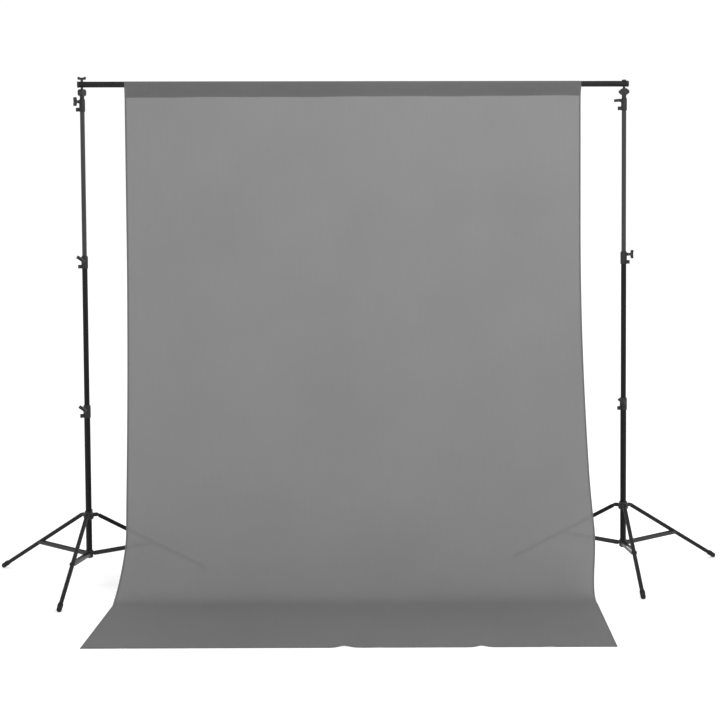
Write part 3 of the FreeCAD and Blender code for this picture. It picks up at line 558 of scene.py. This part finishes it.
def pocket_tube():
    """The sewn tube round the crossbar, from the back of the seam over the top to its front."""
    half = CLOTH_WIDTH / 2
    columns = [-half + CLOTH_WIDTH * k / COLUMNS for k in range(COLUMNS + 1)]
    steps = 22
    points, uvs, faces = [], [], []
    for x in columns:
        seam = BAR.z - POCKET_DROP + seam_offset(x)
        reach = BAR.z - seam
        slack = 0.0012 * math.sin(21 * x + 1.3) + 0.0008 * math.sin(47 * x)
        tangent = math.acos(POCKET_RADIUS / reach)
        profile = [(0.0009, seam), (0.0011, seam + 0.006)]
        touch_y = POCKET_RADIUS * math.sin(tangent)
        touch_z = BAR.z - POCKET_RADIUS * math.cos(tangent)
        for share in (0.3, 0.6, 0.85):
            bulge = (0.0010 + slack * 0.4) * math.sin(math.pi * share)
            y = 0.0011 + (touch_y - 0.0011) * share
            profile.append((y + bulge, seam + 0.006 + (touch_z - seam - 0.006) * share))
        for k in range(steps + 1):
            a = tangent + (2 * math.pi - 2 * tangent) * k / steps
            profile.append(
                (POCKET_RADIUS * math.sin(a), BAR.z - POCKET_RADIUS * math.cos(a))
            )
        for share in (0.85, 0.6, 0.3):
            bulge = (0.0018 + slack) * math.sin(math.pi * share)
            y = 0.0011 + (touch_y - 0.0011) * share
            profile.append((-y - bulge, seam + 0.006 + (touch_z - seam - 0.006) * share))
        profile += [(-0.0013, seam + 0.006), (-0.0011, seam - 0.0015)]
        around_bar = len(profile)
        run = 0.0
        for j, (y, z) in enumerate(profile):
            if j:
                run += math.dist(profile[j - 1], (y, z))
            points.append(Vector((CLOTH_X + x, BAR.y + y, z)))
            uvs.append((x + half, -run))
    for k in range(COLUMNS):
        for j in range(around_bar - 1):
            a = k * around_bar + j
            b = a + around_bar
            faces.append((a, a + 1, b + 1, b))
    return add_mesh("cloth_rod_pocket", points, faces, POCKET_CLOTH_PAINTED_SHADE, uvs=uvs)


def stitches(name, places, length=0.0032, thick=0.0005):
    """Short raised threads, each given by its middle, its direction and its outward side."""
    points, faces = [], []
    for middle, direction, out in places:
        side = direction.cross(out).normalized()
        base = len(points)
        for u, v, w in (
            (-1, -1, 0),
            (1, -1, 0),
            (1, 1, 0),
            (-1, 1, 0),
            (-0.6, -0.5, 1),
            (0.6, -0.5, 1),
            (0.6, 0.5, 1),
            (-0.6, 0.5, 1),
        ):
            offset = direction * (u * length / 2) + side * (v * thick / 2) + out * (w * thick * 0.6)
            points.append(middle + offset)
        for face in ((0, 1, 5, 4), (1, 2, 6, 5), (2, 3, 7, 6), (3, 0, 4, 7), (4, 5, 6, 7)):
            faces.append(tuple(base + i for i in face))
    return add_mesh(name, points, faces, THREAD, smooth=False)


def frame_at(x, s):
    here = cloth_point(x, s)
    down = (cloth_point(x, s + 0.004) - here).normalized()
    across = (cloth_point(x + 0.004, s) - here).normalized()
    return here, down, across, across.cross(down).normalized()


def hem_stitches(name, z_high, z_low, last=False):
    start = 0.004 if z_high > SEAM_Z - 0.001 else length_at(z_high)
    end = CLOTH_LENGTH if last else length_at(z_low)
    places = []
    line = CLOTH_WIDTH / 2 - HEM_WIDTH + 0.003
    for x in (-line, line):
        for k in range(int((end - start) / STITCH_PITCH)):
            here, down, across, out = frame_at(x, start + (k + 0.5) * STITCH_PITCH)
            out = out if out.y < 0 or out.z > 0 else -out
            places.append((here + out * 0.0001, down, out))
    if last:
        for k in range(int(2 * line / STITCH_PITCH)):
            x = -line + (k + 0.5) * STITCH_PITCH
            here, down, across, out = frame_at(x, end - HEM_WIDTH + 0.003)
            out = out if out.z > 0 else -out
            places.append((here + out * 0.0001, across, out))
    return stitches(name, places)


def pocket_stitches():
    places = []
    for row in (0.0025, 0.0085):
        for k in range(int((CLOTH_WIDTH - 0.01) / STITCH_PITCH)):
            x = -CLOTH_WIDTH / 2 + 0.005 + (k + 0.5) * STITCH_PITCH
            z = BAR.z - POCKET_DROP + seam_offset(x) + row
            y = -0.0012 if row < 0.006 else -0.0017
            middle = Vector((CLOTH_X + x, BAR.y + y, z))
            places.append((middle, Vector((1, 0, 0)), Vector((0, -1, 0))))
    return stitches("pocket_stitches", places)


def build_cloth():
    names = ("lower", "middle", "upper")
    tops = (BANDS[0][1], BANDS[1][1], SEAM_Z)
    bottoms = (0.0, BANDS[1][0], BANDS[2][0])
    for i, name in enumerate(names):
        band = cloth_band(f"cloth_{name}", tops[i], bottoms[i], last=i == 0)
        hem = hem_stitches(f"hem_stitches_{name}", tops[i], bottoms[i], last=i == 0)
        for piece in (band, hem):
            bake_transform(piece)
        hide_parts(f"backdrop_{name}")
    tube = pocket_tube()
    seam = pocket_stitches()
    for piece in (tube, seam):
        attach(piece, "left_riser_3")
    lengths = (
        CLOTH_LENGTH - length_at(tops[0]),
        length_at(bottoms[1]) - length_at(tops[1]),
        length_at(bottoms[2]),
    )


build_cloth()


# ---------------------------------------------------------------- stand details

SIDES = ("left", "right")
ARMS = ("front", "outer", "inner")
LEVEL_BODY = {"lower": "root", "middle": "{}_riser_1", "upper": "{}_riser_2"}
RISER_INSIDE = {"lower": "{}_riser_1", "middle": "{}_riser_2", "upper": "{}_riser_3"}


def joint(name):
    return next(j for j in frame["joints"] if j["name"] == name)


def unit(values):
    return Vector(values).normalized()


EAR_TURN = math.radians(-45)
EAR_BOLT_OUT = 0.0115
EAR_BOLT_UP = 0.0115
EAR_HALF_WIDTH = 0.0075
COLLAR_RADIUS = {"lower": 0.020, "middle": 0.018, "upper": 0.016}


def collar_details(side, level):
    """Clamp bolt and nut in the ear, and the guide ring that lines the collar's mouth."""
    collar = f"{side}_{level}_lock_collar"
    body = LEVEL_BODY[level].format(side)
    turn = joint(f"{side}_{level}_knob_turn")
    out = unit(turn["axis"])
    axis = Vector(turn["pos_m"])
    low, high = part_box(collar)
    ear_way = Matrix.Rotation(EAR_TURN, 3, "Z") @ out
    sideways = Vector((0, 0, 1)).cross(ear_way)
    reach = COLLAR_RADIUS[level] + EAR_BOLT_OUT
    ear = Vector((axis.x, axis.y, low.z + EAR_BOLT_UP)) + ear_way * reach
    for sign in (-1, 1):
        head = along(sideways * sign, ear + sideways * (sign * EAR_HALF_WIDTH))
        outline = disc(0.0042, 0.0, 0.0024, 0.0009)
        tag = "head" if sign > 0 else "nut"
        segments = 24 if sign > 0 else 6
        lathe(f"{collar}_clamp_{tag}", outline, BLACK_STEEL, head, segments, body)
    inner_low, inner_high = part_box(RISER_INSIDE[level].format(side))
    inner = (inner_high.x - inner_low.x) / 2
    ring = rim(inner + 0.0024, inner + 0.00035, high.z, high.z + 0.0014)
    lathe(f"{collar}_guide_ring", ring, COLLAR, upright(axis.x, axis.y), 48, body)


def knob_details(name, body):
    """A steel washer under the knob and the moulded cap in the middle of its cross bar."""
    turn = joint(f"{name}_turn")
    out = unit(turn["axis"])
    axis = Vector(turn["pos_m"])
    points = [Vector(v.co) for v in frame["nodes"][name].data.vertices]
    tip = max((p - axis).dot(out) for p in points)
    cap = along(out, axis + out * (tip - 0.0029))
    outline = [(0.0, 0.0), (0.0062, 0.0), (0.0062, 0.0009), (0.0054, 0.0016), (0.0, 0.0019)]
    lathe(f"{name}_cap", outline, COLLAR, cap, 32, name)
    neck = tip - 0.026
    washer = rim(0.0072, 0.0042, 0.0, 0.0008, 0.0001)
    place = along(out, axis + out * (neck - 0.0009))
    lathe(f"{name}_washer", washer, STEEL, place, 32, name)


def boot_details(side, arm):
    """Raised rings moulded on the rubber boot, and the crimp ring where the tongue enters the tube."""
    leg = f"{side}_leg_{arm}"
    swing = joint(f"{leg}_swing")
    pivot = Vector(swing["pos_m"])
    tangent = unit(swing["axis"])
    down = centre_of(f"{side}_foot_{arm}") - pivot
    down = (down - tangent * down.dot(tangent)).normalized()
    points = [Vector(v.co) for v in frame["nodes"][f"{side}_foot_{arm}"].data.vertices]
    start = min((p - pivot).dot(down) for p in points)
    place = along(down, pivot)
    for k in range(3):
        at = start + 0.009 + 0.0062 * k
        ring = [
            (0.0132, at - 0.0014),
            (0.0143, at - 0.0007),
            (0.0143, at + 0.0007),
            (0.0132, at + 0.0014),
        ]
        lathe(f"{side}_boot_ring_{arm}_{k}", ring, RUBBER, place, 40, leg)
    crimp = [(0.0109, 0.0315), (0.0113, 0.0320), (0.0113, 0.0335), (0.0109, 0.0340)]
    lathe(f"{leg}_crimp", crimp, TUBE, place, 40, leg)
    mouth = rim(0.0114, 0.0084, 0.0137, 0.0165)
    lathe(f"{leg}_mouth", mouth, COLLAR, place, 40, leg)


def hub_details(side):
    """Grip ribs between the hub's forks."""
    hub = f"{side}_hub"
    centre = centre_of(f"{side}_base_tube")
    turn = joint(f"{side}_hub_knob_turn")
    z = turn["pos_m"][2]
    back = math.atan2(turn["axis"][1], turn["axis"][0])
    for k in (2, 4):
        a = back + math.pi / 3 * k
        for step in (-0.16, 0.0, 0.16):
            out = Vector((math.cos(a + step), math.sin(a + step), 0))
            foot = Vector((centre.x, centre.y, z - 0.016)) + out * 0.0264
            rib = [(0.0, 0.0), (0.0013, 0.0), (0.0013, 0.0225), (0.0, 0.0238)]
            name = f"{side}_hub_rib_{k}_{int(step * 100) + 16}"
            lathe(name, rib, COLLAR, upright(*foot), 12, hub)


def base_details(side):
    """The plug that closes the foot of the column."""
    low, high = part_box(f"{side}_base_tube")
    centre = (low + high) / 2
    plug = disc(0.0165, -0.0035, 0.0003, 0.0014)
    place = upright(centre.x, centre.y, low.z)
    lathe(f"{side}_column_plug", plug, COLLAR, place, 48, "root")


for side in SIDES:
    for level in ("lower", "middle", "upper"):
        collar_details(side, level)
        knob_details(f"{side}_{level}_knob", f"{side}_{level}_knob")
    knob_details(f"{side}_hub_knob", f"{side}_hub_knob")
    for arm in ARMS:
        boot_details(side, arm)
    hub_details(side)
    base_details(side)


# ---------------------------------------------------------------- floor, light and camera


def build_floor():
    size = 60.0
    points = [(-size, -size, 0), (size, -size, 0), (size, size, 0), (-size, size, 0)]
    material, nodes, links, shader = new_material("studio_floor")
    shader.inputs["Base Color"].default_value = (0.95, 0.95, 0.95, 1)
    shader.inputs["Roughness"].default_value = 0.9
    shader.inputs["Specular IOR Level"].default_value = 0.0
    shader.inputs["Emission Color"].default_value = (1, 1, 1, 1)
    shader.inputs["Emission Strength"].default_value = 0.13
    floor = add_mesh("floor", points, [(0, 1, 2, 3)], material, smooth=False)


def build_light():
    world = bpy.data.worlds.new("studio")
    bpy.context.scene.world = world
    world.use_nodes = True
    background = world.node_tree.nodes["Background"]
    background.inputs["Color"].default_value = (1, 1, 1, 1)
    background.inputs["Strength"].default_value = 1.04
    # name, place, point it is aimed at, size and power
    soft = (
        ("key", (1.0, -2.5, 4.0), (0.0, 0.5, 2.4), 2.0, 52),
        ("back", (1.0, 3.6, 4.0), (0.0, 0.5, 2.4), 2.0, 52),
    )
    for name, place, aim, size, power in soft:
        data = bpy.data.lights.new(name, "AREA")
        data.shape = "DISK"
        data.size = size
        data.energy = power
        lamp = bpy.data.objects.new(name, data)
        lamp.location = place
        direction = Vector(aim) - Vector(place)
        lamp.rotation_euler = direction.to_track_quat("-Z", "Y").to_euler()
        bpy.context.scene.collection.objects.link(lamp)


def build_camera():
    yaw = math.radians(3.674)
    pitch = math.radians(3.148)
    roll = math.radians(-0.385)
    forward = Vector((math.sin(yaw) * math.cos(pitch), math.cos(yaw) * math.cos(pitch), -math.sin(pitch)))
    flat = Vector((math.cos(yaw), -math.sin(yaw), 0))
    up = flat.cross(forward)
    right = flat * math.cos(roll) + up * math.sin(roll)
    above = up * math.cos(roll) - flat * math.sin(roll)
    turn = Matrix((right, above, -forward)).transposed().to_4x4()
    data = bpy.data.cameras.new("camera")
    data.lens = 80.1
    data.sensor_width = 36
    data.shift_y = -0.0847
    data.clip_end = 200
    camera = bpy.data.objects.new("camera", data)
    camera.matrix_world = Matrix.Translation((BAR.x - 0.5464, BAR.y - 8.7367, 2.0138)) @ turn
    bpy.context.scene.collection.objects.link(camera)
    bpy.context.scene.camera = camera


build_floor()
build_light()
build_camera()
bpy.context.scene.view_settings.view_transform = "Standard"
